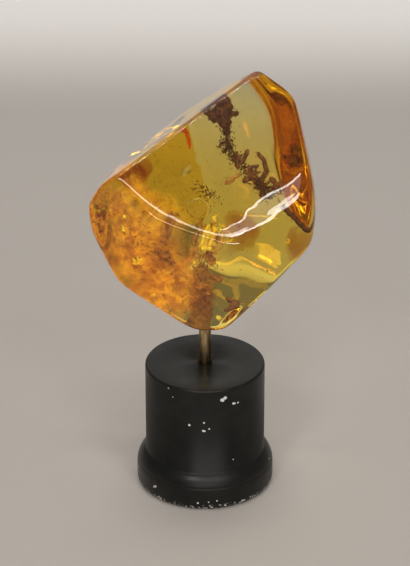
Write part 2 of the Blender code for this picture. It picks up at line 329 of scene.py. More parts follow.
@dataclass(frozen=True)
class PaintFinish:
    """Satin black paint over a white undercoat, chipped and rubbed through at the foot."""

    black: Colour = (0.0050, 0.0052, 0.0044)
    dusty: Colour = (0.0110, 0.0105, 0.0088)
    undercoat: Colour = (0.72, 0.70, 0.66)
    gloss: float = 0.28
    roughness: float = 0.36
    roughness_change: Pair = (-0.07, 0.09)
    sheen_grain: float = 45.0
    chip_grain: float = 900.0
    chip_ragged: float = 0.6
    chip_edge: Pair = (0.85, 1.1)
    fleck_share: Pair = (0.57, 0.60)
    rub_height: float = 3.4 * MM
    rub_fade: Pair = (0.15, 0.5)
    dust_grain: float = 160.0
    dust_share: Pair = (0.35, 0.75)
    brush_grain: float = 26.0
    brush_lines: Point = (9.0, 9.0, 1.0)
    brush_depth: float = 0.5
    relief: float = 0.07 * MM

    def chip(self, recipe: Recipe, ragged: Socket, centre: Point, radius: float) -> Socket:
        """1 on a chip and 0 off it.

        Args:
            recipe: the paint that is being mixed.
            ragged: the pattern that makes the chip's edge uneven.
            centre: the chip's centre.
            radius: its radius.

        Returns:
            The socket of the value.
        """
        stray = radius * self.chip_ragged
        edge = recipe.math("MULTIPLY_ADD", ragged, 2.0 * stray, -stray)
        near = recipe.math("ADD", recipe.away_from(centre), edge)
        start, end = self.chip_edge
        return recipe.ramp(near, radius * start, radius * end, 1.0, 0.0)

    def mix(self, chips: list[Spot]) -> bpy.types.Material:
        """Mixes the paint.

        Args:
            chips: the centre and radius of each chip.

        Returns:
            The material.
        """
        recipe = Recipe("chipped_black_paint")
        recipe.set(Specular_IOR_Level=self.gloss)
        ragged = recipe.noise(self.chip_grain, detail=3.0, rough=0.6)
        low = recipe.ramp(recipe.axis("Z"), 0.0, self.rub_height, 1.0, 0.0)
        flecks = recipe.ramp(recipe.noise(self.chip_grain, detail=2.0, rough=0.7), *self.fleck_share)
        rubbed = recipe.math("MULTIPLY", recipe.ramp(low, *self.rub_fade), flecks)
        bare = recipe.largest([self.chip(recipe, ragged, *chip) for chip in chips] + [rubbed])
        dust = recipe.ramp(recipe.noise(self.dust_grain, detail=6.0, rough=0.65), *self.dust_share)
        paint = recipe.blend(dust, self.black, self.dusty)
        recipe.feed("Base Color", recipe.blend(bare, paint, self.undercoat))
        patches = recipe.noise(self.sheen_grain, detail=5.0, rough=0.6)
        recipe.sheen(patches, self.roughness, self.roughness_change)
        strokes = recipe.noise(self.brush_grain, rough=0.6, where=recipe.stretched(self.brush_lines))
        brushed = recipe.math("MULTIPLY", strokes, self.brush_depth)
        recipe.bump(recipe.math("MULTIPLY_ADD", bare, -1.0, brushed), self.relief)
        return recipe.material


@dataclass(frozen=True)
class BrassFinish:
    """A brass rod gone dull, with darker and greener streaks."""

    bright: Colour = (0.60, 0.43, 0.23)
    dull: Colour = (0.13, 0.09, 0.04)
    roughness: float = 0.34
    roughness_change: Pair = (-0.08, 0.14)
    streak_grain: float = 220.0
    streak_lines: Point = (1.0, 1.0, 0.25)
    streak_share: Pair = (0.40, 0.58)
    scratch_grain: float = 700.0
    scratch_lines: Point = (1.0, 1.0, 6.0)
    relief: float = 0.03 * MM

    def mix(self) -> bpy.types.Material:
        """Returns the material."""
        recipe = Recipe("dull_brass")
        recipe.set(Metallic=1.0)
        along = recipe.stretched(self.streak_lines)
        streaks = recipe.noise(self.streak_grain, detail=5.0, rough=0.6, where=along)
        recipe.mottle(streaks, self.streak_share, self.bright, self.dull)
        recipe.sheen(streaks, self.roughness, self.roughness_change)
        around = recipe.stretched(self.scratch_lines)
        recipe.bump(recipe.noise(self.scratch_grain, detail=3.0, rough=0.5, where=around), self.relief)
        return recipe.material


@dataclass(frozen=True)
class ScrapFinish:
    """Bark, shell or crumb: two colours in a mottle, with a rough skin."""

    name: str
    light: Colour
    dark: Colour
    roughness: float
    grain: float = 900.0
    relief: float = 0.12 * MM
    roughness_change: Pair = (-0.1, 0.1)

    def mix(self) -> bpy.types.Material:
        """Returns the material."""
        recipe = Recipe(self.name)
        pattern = recipe.noise(self.grain, rough=0.6)
        recipe.mottle(pattern, MOTTLED, self.dark, self.light)
        recipe.sheen(pattern, self.roughness, self.roughness_change)
        recipe.bump(pattern, self.relief)
        return recipe.material


@dataclass(frozen=True)
class VeilFinish:
    """A milky flake or flow layer that only partly hides what is behind it."""

    name: str
    light: Colour
    dark: Colour
    cover: float
    grain: float
    roughness: float = 0.6
    gap_grain: float = 0.6
    gap_share: Pair = (0.38, 0.72)

    def mix(self) -> bpy.types.Material:
        """Returns the material."""
        recipe = Recipe(self.name)
        recipe.mottle(recipe.noise(self.grain, detail=5.0, rough=0.6), MOTTLED, self.dark, self.light)
        recipe.set(Roughness=self.roughness)
        gaps = recipe.noise(self.grain * self.gap_grain, detail=5.0, rough=0.65)
        recipe.feed("Alpha", recipe.ramp(gaps, *self.gap_share, 0.0, self.cover))
        return recipe.material


@dataclass(frozen=True)
class HazeFinish:
    """A golden haze on a sheet in the resin, mottled, and gone before the sheet's rim."""

    light: Colour = (1.0, 0.62, 0.05)
    dark: Colour = (0.56, 0.24, 0.02)
    colour_share: Pair = (0.40, 0.60)
    cover: Pair = (0.12, 0.5)
    cover_share: Pair = (0.34, 0.62)
    grain: float = 260.0
    cover_grain: float = 182.0
    roughness: float = 0.7
    core: float = 0.6
    fade: float = 0.35

    def mix(self, places: list[Spot]) -> bpy.types.Material:
        """Mixes the haze.

        Args:
            places: the centre and radius of each place that it fills.

        Returns:
            The material.
        """
        recipe = Recipe("golden_haze")
        balls = [recipe.ball(centre, radius * self.core, radius * self.fade) for centre, radius in places]
        colours = recipe.noise(self.grain, detail=6.0, rough=0.7)
        recipe.mottle(colours, self.colour_share, self.dark, self.light)
        recipe.set(Roughness=self.roughness)
        pattern = recipe.noise(self.cover_grain, detail=5.0, rough=0.6)
        patches = recipe.ramp(pattern, *self.cover_share, *self.cover)
        recipe.feed("Alpha", recipe.math("MULTIPLY", recipe.largest(balls), patches))
        return recipe.material


@dataclass(frozen=True)
class TintFinish:
    """A cloud of deeper colour in the resin, with no skin of its own."""

    name: str
    passed: Colour
    density: float
    clear: Colour = (1.0, 1.0, 1.0)

    def mix(self) -> bpy.types.Material:
        """Returns the material."""
        recipe = Recipe(self.name)
        recipe.set(Base_Color=self.clear, IOR=1.0, Transmission_Weight=1.0, Roughness=0.0)
        recipe.absorb(self.passed, self.density)
        return recipe.material


@dataclass(frozen=True)
class FloorFinish:
    """A plain matt table top, with painted light that makes it paler towards its far edge."""

    near: Colour = (0.515, 0.478, 0.442)
    # Painted light: the paler far colour stands for light falling on the far floor.
    far: Colour = (1.0, 0.97, 0.94)
    fade: Pair = (0.30, 0.44)
    roughness: float = 0.7

    def mix(self) -> bpy.types.Material:
        """Returns the material."""
        recipe = Recipe("pale_floor")
        # Painted light: a ramp along Y from the near colour to the paler far one.
        recipe.mottle(recipe.axis("Y"), self.fade, self.near, self.far)
        recipe.set(Roughness=self.roughness)
        return recipe.material


def facing(bearing: float, rise: float) -> Vector:
    """The direction with a bearing and a rise.

    Args:
        bearing: degrees round from +X, seen from above.
        rise: degrees above level.

    Returns:
        The unit vector.
    """
    turned, up = math.radians(bearing), math.radians(rise)
    return Vector((math.cos(up) * math.cos(turned), math.cos(up) * math.sin(turned), math.sin(up)))


def tilted(about_x: float, about_y: float) -> Matrix:
    """Returns a turn about X and Y, by angles in radians."""
    return Matrix.Rotation(about_x, 4, "X") @ Matrix.Rotation(about_y, 4, "Y")


def spun(draw: random.Random) -> Matrix:
    """Draws a turn about Z."""
    return Matrix.Rotation(draw.uniform(0.0, math.tau), 4, "Z")


def scattered(draw: random.Random, spread: float) -> Vector:
    """Draws a place near the origin, spread alike each way."""
    return Vector([draw.gauss(0.0, spread) for _ in range(3)])


def sized(sizes: Point | Vector) -> Matrix:
    """Returns what stretches a unit ball to three half-sizes."""
    return Matrix.Diagonal((*sizes, 1.0))


def lumps(place: Vector, layers: Layers) -> float:
    """Adds up layers of smooth noise at a place."""
    return sum(strength * noise.noise(place * waves) for waves, strength in layers)


def add_ball(shape: bmesh.types.BMesh, place: Matrix, fineness: int = 1) -> list[bmesh.types.BMVert]:
    """Adds a ball to a shape.

    Args:
        shape: the shape.
        place: what moves, turns and stretches the ball.
        fineness: its subdivisions.

    Returns:
        The ball's points.
    """
    made = bmesh.ops.create_icosphere(shape, subdivisions=fineness, radius=1.0, matrix=place)
    return made["verts"]


def mesh_of(shape: bmesh.types.BMesh, name: str, material: bpy.types.Material) -> bpy.types.Mesh:
    """Makes a mesh of a bmesh, which is freed, and finishes it."""
    mesh = bpy.data.meshes.new(name)
    shape.to_mesh(mesh)
    shape.free()
    mesh.materials.append(material)
    return mesh


def put(name: str, data: bpy.types.ID) -> bpy.types.Object:
    """Sets a new object in the scene."""
    thing = bpy.data.objects.new(name, data)
    bpy.context.scene.collection.objects.link(thing)
    return thing


def finish_piece(
    shape: bmesh.types.BMesh, name: str, material: bpy.types.Material, slot: Slot, *nodes: str
) -> bpy.types.Object:
    """Makes a finished piece of a bmesh and sets it in the part.

    Args:
        shape: the piece's shape, in place; it is freed.
        name: the piece's name.
        material: its finish.
        slot: the record's slot that the finish belongs to; it is not used.
        nodes: the plain solids that the piece replaces, if any.

    Returns:
        The piece's object, at the origin.
    """
    mesh = mesh_of(shape, name, material)
    mesh.shade_smooth()
    piece = put(name, mesh)
    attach(piece, BODY)
    if nodes:
        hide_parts(*nodes)
    log.info("%s: %d faces", name, len(mesh.polygons))
    return piece


def arc(centre: Pair, radius: float, start: float, end: float, steps: int) -> list[Pair]:
    """Points on an arc of a turned profile.

    Args:
        centre: distance from the axis, and height.
        radius: the arc's radius.
        start: first angle, in degrees from outwards.
        end: last angle.
        steps: how many steps it has.

    Returns:
        The points as distance from the axis and height.
    """
    angles = [math.radians(start + (end - start) * step / steps) for step in range(steps + 1)]
    return [(centre[0] + radius * math.cos(a), centre[1] + radius * math.sin(a)) for a in angles]


def turn(profile: list[Pair], steps: int) -> bmesh.types.BMesh:
    """Turns a profile round the Z axis into a closed solid.

    Args:
        profile: points from the axis and back to it.
        steps: how many steps the full turn has.

    Returns:
        The solid as a bmesh, with its faces pointing out.
    """
    shape = bmesh.new()
    points = [shape.verts.new((radius, 0.0, height)) for radius, height in profile]
    edges = [shape.edges.new(pair) for pair in zip(points, points[1:])]
    bmesh.ops.spin(
        shape,
        geom=points + edges,
        cent=(0, 0, 0),
        axis=(0, 0, 1),
        angle=math.tau,
        steps=steps,
        use_merge=True,
    )
    bmesh.ops.remove_doubles(shape, verts=shape.verts[:], dist=WELD)
    bmesh.ops.recalc_face_normals(shape, faces=shape.faces[:])
    return shape


@dataclass(frozen=True)
class Chip:
    """A spot where the paint is gone, by its bearing on the stand in degrees, its height and its size."""

    bearing: float
    height: float
    radius: float
    reach: float = 20.0 * MM

    def ball(self) -> Spot:
        """Returns its centre and radius."""
        place = facing(self.bearing, 0.0) * self.reach
        return (place.x, place.y, self.height), self.radius


@dataclass
class Stand:
    """The turned column on its moulded flange."""

    height: float = 44.3 * MM
    column: float = 20.0 * MM
    rim: float = 0.8 * MM
    flange: float = 23.0 * MM
    moulding: float = 8.5 * MM
    moulding_height: float = 6.3 * MM
    groove_height: float = 8.3 * MM
    groove: float = 0.07 * MM
    groove_lips: Pair = (2.0, -1.4)
    groove_floor: Pair = (1.0, -0.4)
    foot: float = 2.2 * MM
    hole: float = 2.3 * MM
    hole_depth: float = 20.0 * MM
    steps: int = 160
    moulding_steps: int = 12
    rim_steps: int = 6
    round_steps: int = 5
    groove_steps: int = 2
    chips_behind: int = 9
    behind_bearings: Pair = (10.0, 170.0)
    behind_heights: Pair = (16.0 * MM, 42.0 * MM)
    behind_sizes: Pair = (0.18 * MM, 0.45 * MM)
    behind_seed: int = 7
    finish: PaintFinish = field(default_factory=PaintFinish)

    def chips(self) -> list[Chip]:
        """The chips that show, and some more round the back."""
        seen = [
            Chip(-73.2, 40.5 * MM, 0.74 * MM),
            Chip(-70.9, 41.2 * MM, 0.62 * MM),
            Chip(-62.0, 38.4 * MM, 0.42 * MM),
            Chip(-60.6, 38.3 * MM, 0.36 * MM),
            Chip(-57.0, 38.2 * MM, 0.32 * MM),
            Chip(-105.0, 31.1 * MM, 0.42 * MM),
            Chip(-91.0, 32.3 * MM, 0.32 * MM),
            Chip(-91.8, 29.3 * MM, 0.36 * MM),
            Chip(-90.3, 29.2 * MM, 0.34 * MM),
            Chip(-86.0, 30.0 * MM, 0.28 * MM),
            Chip(-127.0, 43.2 * MM, 0.24 * MM),
            Chip(-122.0, 40.4 * MM, 0.20 * MM),
            Chip(-62.0, 16.9 * MM, 0.22 * MM),
        ]
        low = [
            Chip(-138.0, 4.9 * MM, 0.40 * MM, self.flange),
            Chip(-136.0, 5.4 * MM, 0.42 * MM, self.flange),
            Chip(-96.0, 3.1 * MM, 0.34 * MM, self.flange),
            Chip(-87.0, 3.5 * MM, 0.26 * MM, self.flange),
            Chip(-80.0, 3.8 * MM, 0.24 * MM, self.flange),
            Chip(-13.0, 9.7 * MM, 0.24 * MM, self.flange - 0.7 * MM),
        ]
        draw = random.Random(self.behind_seed)
        spans = (self.behind_bearings, self.behind_heights, self.behind_sizes)
        behind = [Chip(*(draw.uniform(*span) for span in spans)) for _ in range(self.chips_behind)]
        return seen + low + behind

    def build(self) -> bpy.types.Object:
        """Turns the stand and paints it."""
        ring = (self.flange - self.moulding, self.moulding_height)
        top = math.degrees(math.acos((self.column - ring[0]) / self.moulding))
        cut = math.degrees(math.asin((self.groove_height - self.moulding_height) / self.moulding))
        rim = (self.column - self.rim, self.height - self.rim)
        foot = (self.flange - self.foot, self.foot)
        floor = self.height - self.hole_depth
        profile = [(0.0, floor), (self.hole, floor), (self.hole, self.height - self.groove)]
        profile += [(self.hole + self.groove, self.height)]
        profile += arc(rim, self.rim, UP, OUT, self.rim_steps)
        upper_lip, lower_lip = (cut + turned for turned in self.groove_lips)
        upper_floor, lower_floor = (cut + turned for turned in self.groove_floor)
        profile += arc(ring, self.moulding, top, upper_lip, self.moulding_steps)
        profile += arc(ring, self.moulding - self.groove, upper_floor, lower_floor, self.groove_steps)
        profile += arc(ring, self.moulding, lower_lip, OUT, self.round_steps)
        profile += arc(foot, self.foot, OUT, DOWN, self.round_steps)
        profile += [(0.0, 0.0)]
        shape = turn(profile, self.steps)
        paint = self.finish.mix([chip.ball() for chip in self.chips()])
        return finish_piece(shape, "painted_stand", paint, Slot.PAINT, "stand")


@dataclass
class Mounting:
    """The brass rod, with the cement that holds it in the drilled stone."""

    radius: float = 2.0 * MM
    bottom: float = 24.6 * MM
    top: float = 75.5 * MM
    bevel: float = 0.3 * MM
    steps: int = 48
    plug: float = 3.6 * MM
    plug_taper: float = 0.72
    plug_top: float = 76.8 * MM
    plug_bottom: float = 60.2 * MM
    plug_rings: int = 34
    plug_rough: float = 2.2 * MM
    plug_lumps: Layers = ((420.0, 1.0), (1100.0, 0.6))
    crown: float = 0.4 * MM
    crown_shoulder: float = 0.3 * MM
    crown_share: float = 0.4
    rod_gap: float = 0.02 * MM
    end_gap: float = 0.05 * MM
    wall_start: float = 1.2
    wall_least: float = 1.05
    cement: ScrapFinish = ScrapFinish(
        "brown_cement", (0.29, 0.15, 0.035), (0.13, 0.058, 0.014), 0.7, 520.0, 0.3 * MM
    )

    def build_rod(self) -> bpy.types.Object:
        """Turns the rod."""
        slim = self.radius - self.bevel
        profile = [(0.0, self.top), (slim, self.top), (self.radius, self.top - self.bevel)]
        profile += [(self.radius, self.bottom + self.bevel), (slim, self.bottom), (0.0, self.bottom)]
        return finish_piece(turn(profile, self.steps), "brass_rod", BrassFinish().mix(), Slot.BRASS, "rod")

    def build_cement(self) -> bpy.types.Object:
        """Fills the drilled hole round the rod, with the hole's rough wall."""
        inner = self.radius + self.rod_gap
        end = self.top + self.end_gap
        profile = [(0.0, self.plug_top + self.crown)]
        profile += [(self.plug * self.crown_share, self.plug_top + self.crown_shoulder)]
        heights = np.linspace(self.plug_top, self.plug_bottom, self.plug_rings)
        reaches = np.linspace(self.plug * self.plug_taper, self.plug, self.plug_rings)
        profile += [(float(reach), float(height)) for reach, height in zip(reaches, heights)]
        profile += [(inner, self.plug_bottom), (inner, end), (0.0, end)]
        shape = turn(profile, self.steps)
        for point in shape.verts:
            reach = math.hypot(point.co.x, point.co.y)
            if reach > inner * self.wall_start:
                rough = lumps(point.co, self.plug_lumps) * self.plug_rough
                scale = max(inner * self.wall_least, reach + rough) / reach
                point.co.x *= scale
                point.co.y *= scale
        return finish_piece(shape, "drill_hole_cement", self.cement.mix(), Slot.CEMENT, "mounting_glue")


@dataclass(frozen=True)
class Facet:
    """One ground facet: its bearing and rise in degrees, and how far it lies from the stone's centre."""

    bearing: float
    rise: float
    distance: float

    def normal(self) -> Vector:
        """Returns the direction it faces."""
        return facing(self.bearing, self.rise)


@dataclass(frozen=True)
class Worn:
    """A side of the stone where its edges are more rounded, by bearing and rise in degrees."""

    bearing: float
    rise: float
    sharpness: float
    spread: float

    def direction(self) -> Vector:
        """Returns the direction of its middle."""
        return facing(self.bearing, self.rise)


@dataclass(frozen=True)
class Bubble:
    """A hollow in the resin, by its place on the parting plane in mm, its three half-sizes and its lean."""

    place: Point
    size: Point
    lean: Pair = (0.0, 0.0)


@dataclass
class CopalStone:
    """The clear lump: soft-edged facets round a centre, with bubbles and one flat round spangle inside.

    The distances of facets, and the places and sizes of bubbles, are in mm.
    """

    centre: Vector = field(default_factory=lambda: Vector((-1.0, 4.4, 99.8)) * MM)
    sharpness: float = 44.0
    worn: tuple[Worn, ...] = (
        Worn(-39.1, 13.1, 24.0, 40.0),
        Worn(112.0, -2.0, 9.0, 24.0),
        Worn(30.0, 14.0, 16.0, 28.0),
        Worn(130.0, -40.0, 14.0, 30.0),
    )
    wave: float = 0.12 * MM
    ripples: Layers = ((3.0, 1.0), (8.0, 0.2))
    fineness: int = 7
    facets: dict[str, Facet] = field(
        default_factory=lambda: {
            "upper_front": Facet(-81.0, 40.0, 22.2),
            "left_front": Facet(-117.0, 3.5, 29.3),
            "middle_front": Facet(-97.0, 0.0, 26.8),
            "right_front": Facet(-73.5, 6.5, 29.1),
            "ridge_bevel": Facet(-95.0, 21.0, 26.5),
            "right_shoulder": Facet(-70.0, 24.0, 26.9),
            "top_left": Facet(160.0, 53.4, 27.2),
            "top_right": Facet(26.5, 50.0, 47.3),
            "right": Facet(1.0, 14.0, 37.9),
            "lower_right": Facet(-5.0, -4.0, 37.4),
            "right_under": Facet(-15.0, -43.5, 31.8),
            "left_under": Facet(-175.5, -27.0, 33.7),
            "under": Facet(-152.5, -53.0, 34.2),
            "keel": Facet(-85.0, -68.0, 39.4),
            "left_shoulder": Facet(164.0, 31.0, 30.9),
            "back_left": Facet(160.0, -8.0, 29.0),
            "back_left_inner": Facet(132.0, -6.0, 17.2),
            "back_right": Facet(45.0, 5.0, 32.0),
            "back_top_right": Facet(55.0, 20.0, 35.5),
            "back_top": Facet(88.0, 3.0, 22.0),
            "back": Facet(84.0, -22.0, 27.5),
            "back_low": Facet(103.0, -49.0, 29.0),
        }
    )
    lean: float = math.radians(17.0)
    forward: float = 2.5 * MM
    bubbles: list[Bubble] = field(
        default_factory=lambda: [
            Bubble((-1.8, -1.8, 2.0), (4.1, 3.6, 0.03), (0.12, -0.10)),
            Bubble((0.5, 2.0, 1.0), (0.62, 0.62, 0.62)),
            Bubble((2.4, 4.6, 1.5), (0.45, 0.45, 0.45)),
            Bubble((1.6, 0.9, 0.5), (0.4, 0.4, 0.4)),
            Bubble((-2.0, 5.6, 0.8), (0.5, 0.4, 0.4)),
        ]
    )
    bubble_fineness: int = 2
    strewn: int = 90
    strewn_middle: Point = (-9.0, -11.0, 0.0)
    strewn_spread: Point = (11.0, 11.0, 3.5)
    strewn_sizes: Pair = (0.08, 0.28)
    strewn_margin: float = 1.5 * MM
    strewn_seed: int = 5
    slant: float = 1.6

    def parting(self) -> Matrix:
        """The frame of the plane that what is sealed in lies on: X across, Y up it and Z to the front."""
        outward = Vector((0.0, -math.cos(self.lean), math.sin(self.lean)))
        across = Vector((1.0, 0.0, 0.0))
        place = Matrix((across, outward.cross(across), outward)).transposed().to_4x4()
        place.translation = self.centre + outward * self.forward
        return place

    def surface(self, directions: np.ndarray) -> np.ndarray:
        """How far the polished surface lies from the centre.

        Args:
            directions: unit vectors, one a row.

        Returns:
            The distances in metres.
        """
        normals = np.array([facet.normal() for facet in self.facets.values()])
        distances = np.array([facet.distance for facet in self.facets.values()]) * MM
        nearness = np.maximum(0.0, directions @ normals.T) / distances
        peak = nearness.max(axis=1)
        sharpness = np.full(len(directions), self.sharpness)
        for place in self.worn:
            away = np.degrees(np.arccos(np.clip(directions @ np.array(place.direction()), -1.0, 1.0)))
            sharpness += (place.sharpness - sharpness) * np.exp(-((away / place.spread) ** 2))
        total = ((nearness / peak[:, None]) ** sharpness[:, None]).sum(axis=1)
        return 1.0 / (peak * total ** (1.0 / sharpness))

    def reach(self, direction: Vector) -> float:
        """How far the surface lies from the centre in one direction."""
        return float(self.surface(np.array([direction]))[0])

    def holds(self, point: Vector, margin: float) -> bool:
        """Tells whether a point lies well inside the stone.

        Args:
            point: the point.
            margin: how far under the surface it has to lie.

        Returns:
            True where it does.
        """
        away = point - self.centre
        # A facet that is met at a slant lies nearer than its reach, so the margin grows.
        return away.length < self.reach(away.normalized()) - margin * self.slant

    def strewn_bubbles(self) -> list[Bubble]:
        """Tiny round bubbles, mostly in the lower left."""
        draw = random.Random(self.strewn_seed)
        plane = self.parting()
        ranges = list(zip(self.strewn_middle, self.strewn_spread))
        found = []
        for _ in range(self.strewn):
            place = tuple(draw.gauss(middle, spread) for middle, spread in ranges)
            radius = draw.uniform(*self.strewn_sizes)
            if self.holds(plane @ (Vector(place) * MM), self.strewn_margin):
                found.append(Bubble(place, (radius, radius, radius)))
        return found

    def add_hollows(self, shape: bmesh.types.BMesh) -> None:
        """Adds the bubbles and the spangle, whose walls face into them."""
        plane = self.parting()
        for bubble in self.bubbles + self.strewn_bubbles():
            place = Matrix.Translation(Vector(bubble.place) * MM)
            size = sized(Vector(bubble.size) * MM)
            points = add_ball(shape, plane @ place @ tilted(*bubble.lean) @ size, self.bubble_fineness)
            walls = list({face for point in points for face in point.link_faces})
            bmesh.ops.reverse_faces(shape, faces=walls)

    def build(self) -> bpy.types.Object:
        """Grinds and polishes the stone."""
        shape = bmesh.new()
        points = add_ball(shape, Matrix(), self.fineness)
        directions = np.array([point.co for point in points])
        for point, reach in zip(points, self.surface(directions)):
            direction = point.co.normalized()
            point.co = self.centre + direction * (reach + self.wave * lumps(direction, self.ripples))
        self.add_hollows(shape)
        resin = CopalFinish().mix()
        piece = finish_piece(shape, "clear_copal", resin, Slot.COPAL, "copal_front", "copal_back")
        # The lamps have to reach what is sealed in it, which a shadow from its own skin would keep dark.
        piece.visible_shadow = False
        return piece


@dataclass(frozen=True)
class Scrap:
    """One thing sealed in the stone, worked up from its plain solid; hairs and grains are numbers of them."""

    node: str
    slot: Slot
    crumble: float
    fatten: float
    hairs: int
    grains: int
    cuts: int = 2


@dataclass(frozen=True)
class Litter:
    """Slivers and crumbs strewn along a path over the parting plane, in mm."""

    name: str
    slot: Slot
    path: tuple[Pair, ...]
    spread: float
    count: int


@dataclass
class Sealed:
    """Everything sealed in the resin: insects, bark, crumbs and dust."""

    scraps: list[Scrap] = field(
        default_factory=lambda: [
            Scrap("bark_clump", Slot.BARK, 0.40 * MM, 0.15 * MM, 70, 140),
            Scrap("rootlet", Slot.BARK, 0.20 * MM, 0.12 * MM, 90, 120),
            Scrap("ant_upper", Slot.INSECT, 0.10 * MM, 0.22 * MM, 26, 40),
            Scrap("ant_middle", Slot.INSECT, 0.10 * MM, 0.22 * MM, 14, 24),
            Scrap("wing_scrap", Slot.WING, 0.08 * MM, 0.05 * MM, 0, 8),
            Scrap("ant_lower", Slot.INSECT, 0.16 * MM, 0.28 * MM, 34, 60),
            Scrap("ant_side", Slot.INSECT, 0.12 * MM, 0.26 * MM, 26, 40),
            Scrap("bark_splinter", Slot.BARK, 0.30 * MM, -0.02 * MM, 10, 30),
            Scrap("gnat", Slot.INSECT, 0.12 * MM, 0.36 * MM, 14, 24),
            Scrap("twig", Slot.CRUMB, 0.15 * MM, 0.0, 6, 14),
            Scrap("crumb_left", Slot.CRUMB, 0.40 * MM, 0.0, 14, 60),
            Scrap("crumb_middle", Slot.CRUMB, 0.40 * MM, 0.0, 14, 60),
            Scrap("crumb_low", Slot.CRUMB, 0.35 * MM, 0.0, 10, 40),
        ]
    )
    smoothing: float = 0.4
    skin_lumps: Layers = ((900.0, 1.0), (2300.0, 0.5))
    hair_lengths: Pair = (0.4 * MM, 1.0 * MM)
    hair_width: float = 0.10 * MM
    hair_taper: float = 0.35
    hair_stray: Pair = (-0.7, 0.7)
    hair_root: float = 0.45
    hair_sides: int = 5
    grain_sizes: Pair = (0.065 * MM, 0.26 * MM)
    grain_spread: float = 0.45 * MM
    grain_proud: float = 0.5
    dust_count: int = 420
    dust_seed: int = 21
    dust_sizes: Pair = (0.05 * MM, 0.17 * MM)
    dust_stretch: Pair = (0.6, 1.6)
    dust_depth: float = 0.9
    sliver_sizes: tuple[Pair, ...] = ((0.15 * MM, 0.95 * MM), (0.08 * MM, 0.24 * MM), (0.06 * MM, 0.16 * MM))
    sliver_depth: float = 0.9
    sliver_lean: float = 0.4
    strewn: tuple[Litter, ...] = (
        Litter(
            "trail_litter",
            Slot.BARK,
            (
                (5.5, 31.0),
                (7.6, 24.5),
                (7.6, 20.0),
                (8.8, 17.0),
                (11.0, 13.5),
                (14.5, 10.0),
                (18.0, 7.0),
                (20.0, 3.0),
                (22.5, 4.0),
            ),
            1.05,
            640,
        ),
        Litter("spangle_litter", Slot.BARK, ((-3.0, 5.5), (0.5, 2.5), (3.5, 2.0)), 1.3, 70),
        Litter(
            "corner_litter",
            Slot.CRUMB,
            ((-28.0, 4.5), (-20.0, -3.0), (-13.0, -10.0), (-8.0, -18.0), (-3.0, -28.0)),
            4.6,
            240,
        ),
        Litter(
            "column_litter",
            Slot.CRUMB,
            ((2.5, -9.0), (1.5, -16.0), (1.0, -24.0), (0.5, -32.0)),
            1.9,
            420,
        ),
    )

    def finishes(self) -> dict[Slot, bpy.types.Material]:
        """Mixes the finish of each kind of scrap."""
        kinds = {
            Slot.BARK: ScrapFinish("old_bark", (0.125, 0.036, 0.008), (0.030, 0.009, 0.003), 0.9),
            Slot.INSECT: ScrapFinish("insect_shell", (0.21, 0.066, 0.015), (0.055, 0.017, 0.005), 0.7),
            Slot.WING: ScrapFinish("dry_wing", (0.42, 0.22, 0.07), (0.26, 0.12, 0.03), 0.6),
            Slot.CRUMB: ScrapFinish("brown_crumb", (0.34, 0.14, 0.03), (0.14, 0.050, 0.012), 0.8),
        }
        return {slot: finish.mix() for slot, finish in kinds.items()}

    def build_scrap(self, scrap: Scrap, material: bpy.types.Material) -> bpy.types.Object:
        """Works up one scrap: a finer, crumbled skin, and hairs.

        Args:
            scrap: which one, and how rough it is.
            material: its finish.

        Returns:
            The finished piece.
        """
        shape = bmesh.new()
        shape.from_mesh(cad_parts[scrap.node].data)
        bmesh.ops.remove_doubles(shape, verts=shape.verts[:], dist=WELD)
        every_way = {"use_axis_x": True, "use_axis_y": True, "use_axis_z": True}
        for _ in range(scrap.cuts):
            bmesh.ops.subdivide_edges(shape, edges=shape.edges[:], cuts=1, use_grid_fill=True)
            bmesh.ops.smooth_vert(shape, verts=shape.verts[:], factor=self.smoothing, **every_way)
        shape.normal_update()
        for point in shape.verts:
            point.co += point.normal * (scrap.fatten + lumps(point.co, self.skin_lumps) * scrap.crumble)
        draw = random.Random(scrap.node)
        skin = [(point.co.copy(), point.normal.copy()) for point in shape.verts]
        for root, outward in draw.choices(skin, k=scrap.grains):
            stray = scattered(draw, self.grain_spread)
            sizes = [draw.uniform(*self.grain_sizes) for _ in range(3)]
            place = Matrix.Translation(root + outward * self.grain_proud * sizes[0] + stray)
            add_ball(shape, place @ sized(sizes))
        for root, outward in draw.choices(skin, k=scrap.hairs):
            stray = Vector([draw.uniform(*self.hair_stray) for _ in range(3)])
            along = (outward + stray).normalized()
            length = draw.uniform(*self.hair_lengths)
            turned = along.to_track_quat("Z", "Y").to_matrix().to_4x4()
            bmesh.ops.create_cone(
                shape,
                cap_ends=True,
                segments=self.hair_sides,
                radius1=self.hair_width,
                radius2=self.hair_width * self.hair_taper,
                depth=length,
                matrix=Matrix.Translation(root + along * length * self.hair_root) @ turned,
            )
        return finish_piece(shape, scrap.node + "_fine", material, scrap.slot, scrap.node)

    def build_dust(self, stone: CopalStone, material: bpy.types.Material) -> bpy.types.Object:
        """Scatters fine specks through the resin.

        Args:
            stone: the stone that holds them.
            material: their finish.

        Returns:
            All the specks as one piece.
        """
        draw = random.Random(self.dust_seed)
        shape = bmesh.new()
        for _ in range(self.dust_count):
            direction = scattered(draw, 1.0).normalized()
            away = stone.reach(direction) * math.sqrt(draw.random()) * self.dust_depth
            size = draw.uniform(*self.dust_sizes)
            wide, deep = (size * draw.uniform(*self.dust_stretch) for _ in range(2))
            add_ball(shape, Matrix.Translation(stone.centre + direction * away) @ sized((wide, size, deep)))
        return finish_piece(shape, "dust_specks", material, Slot.CRUMB)

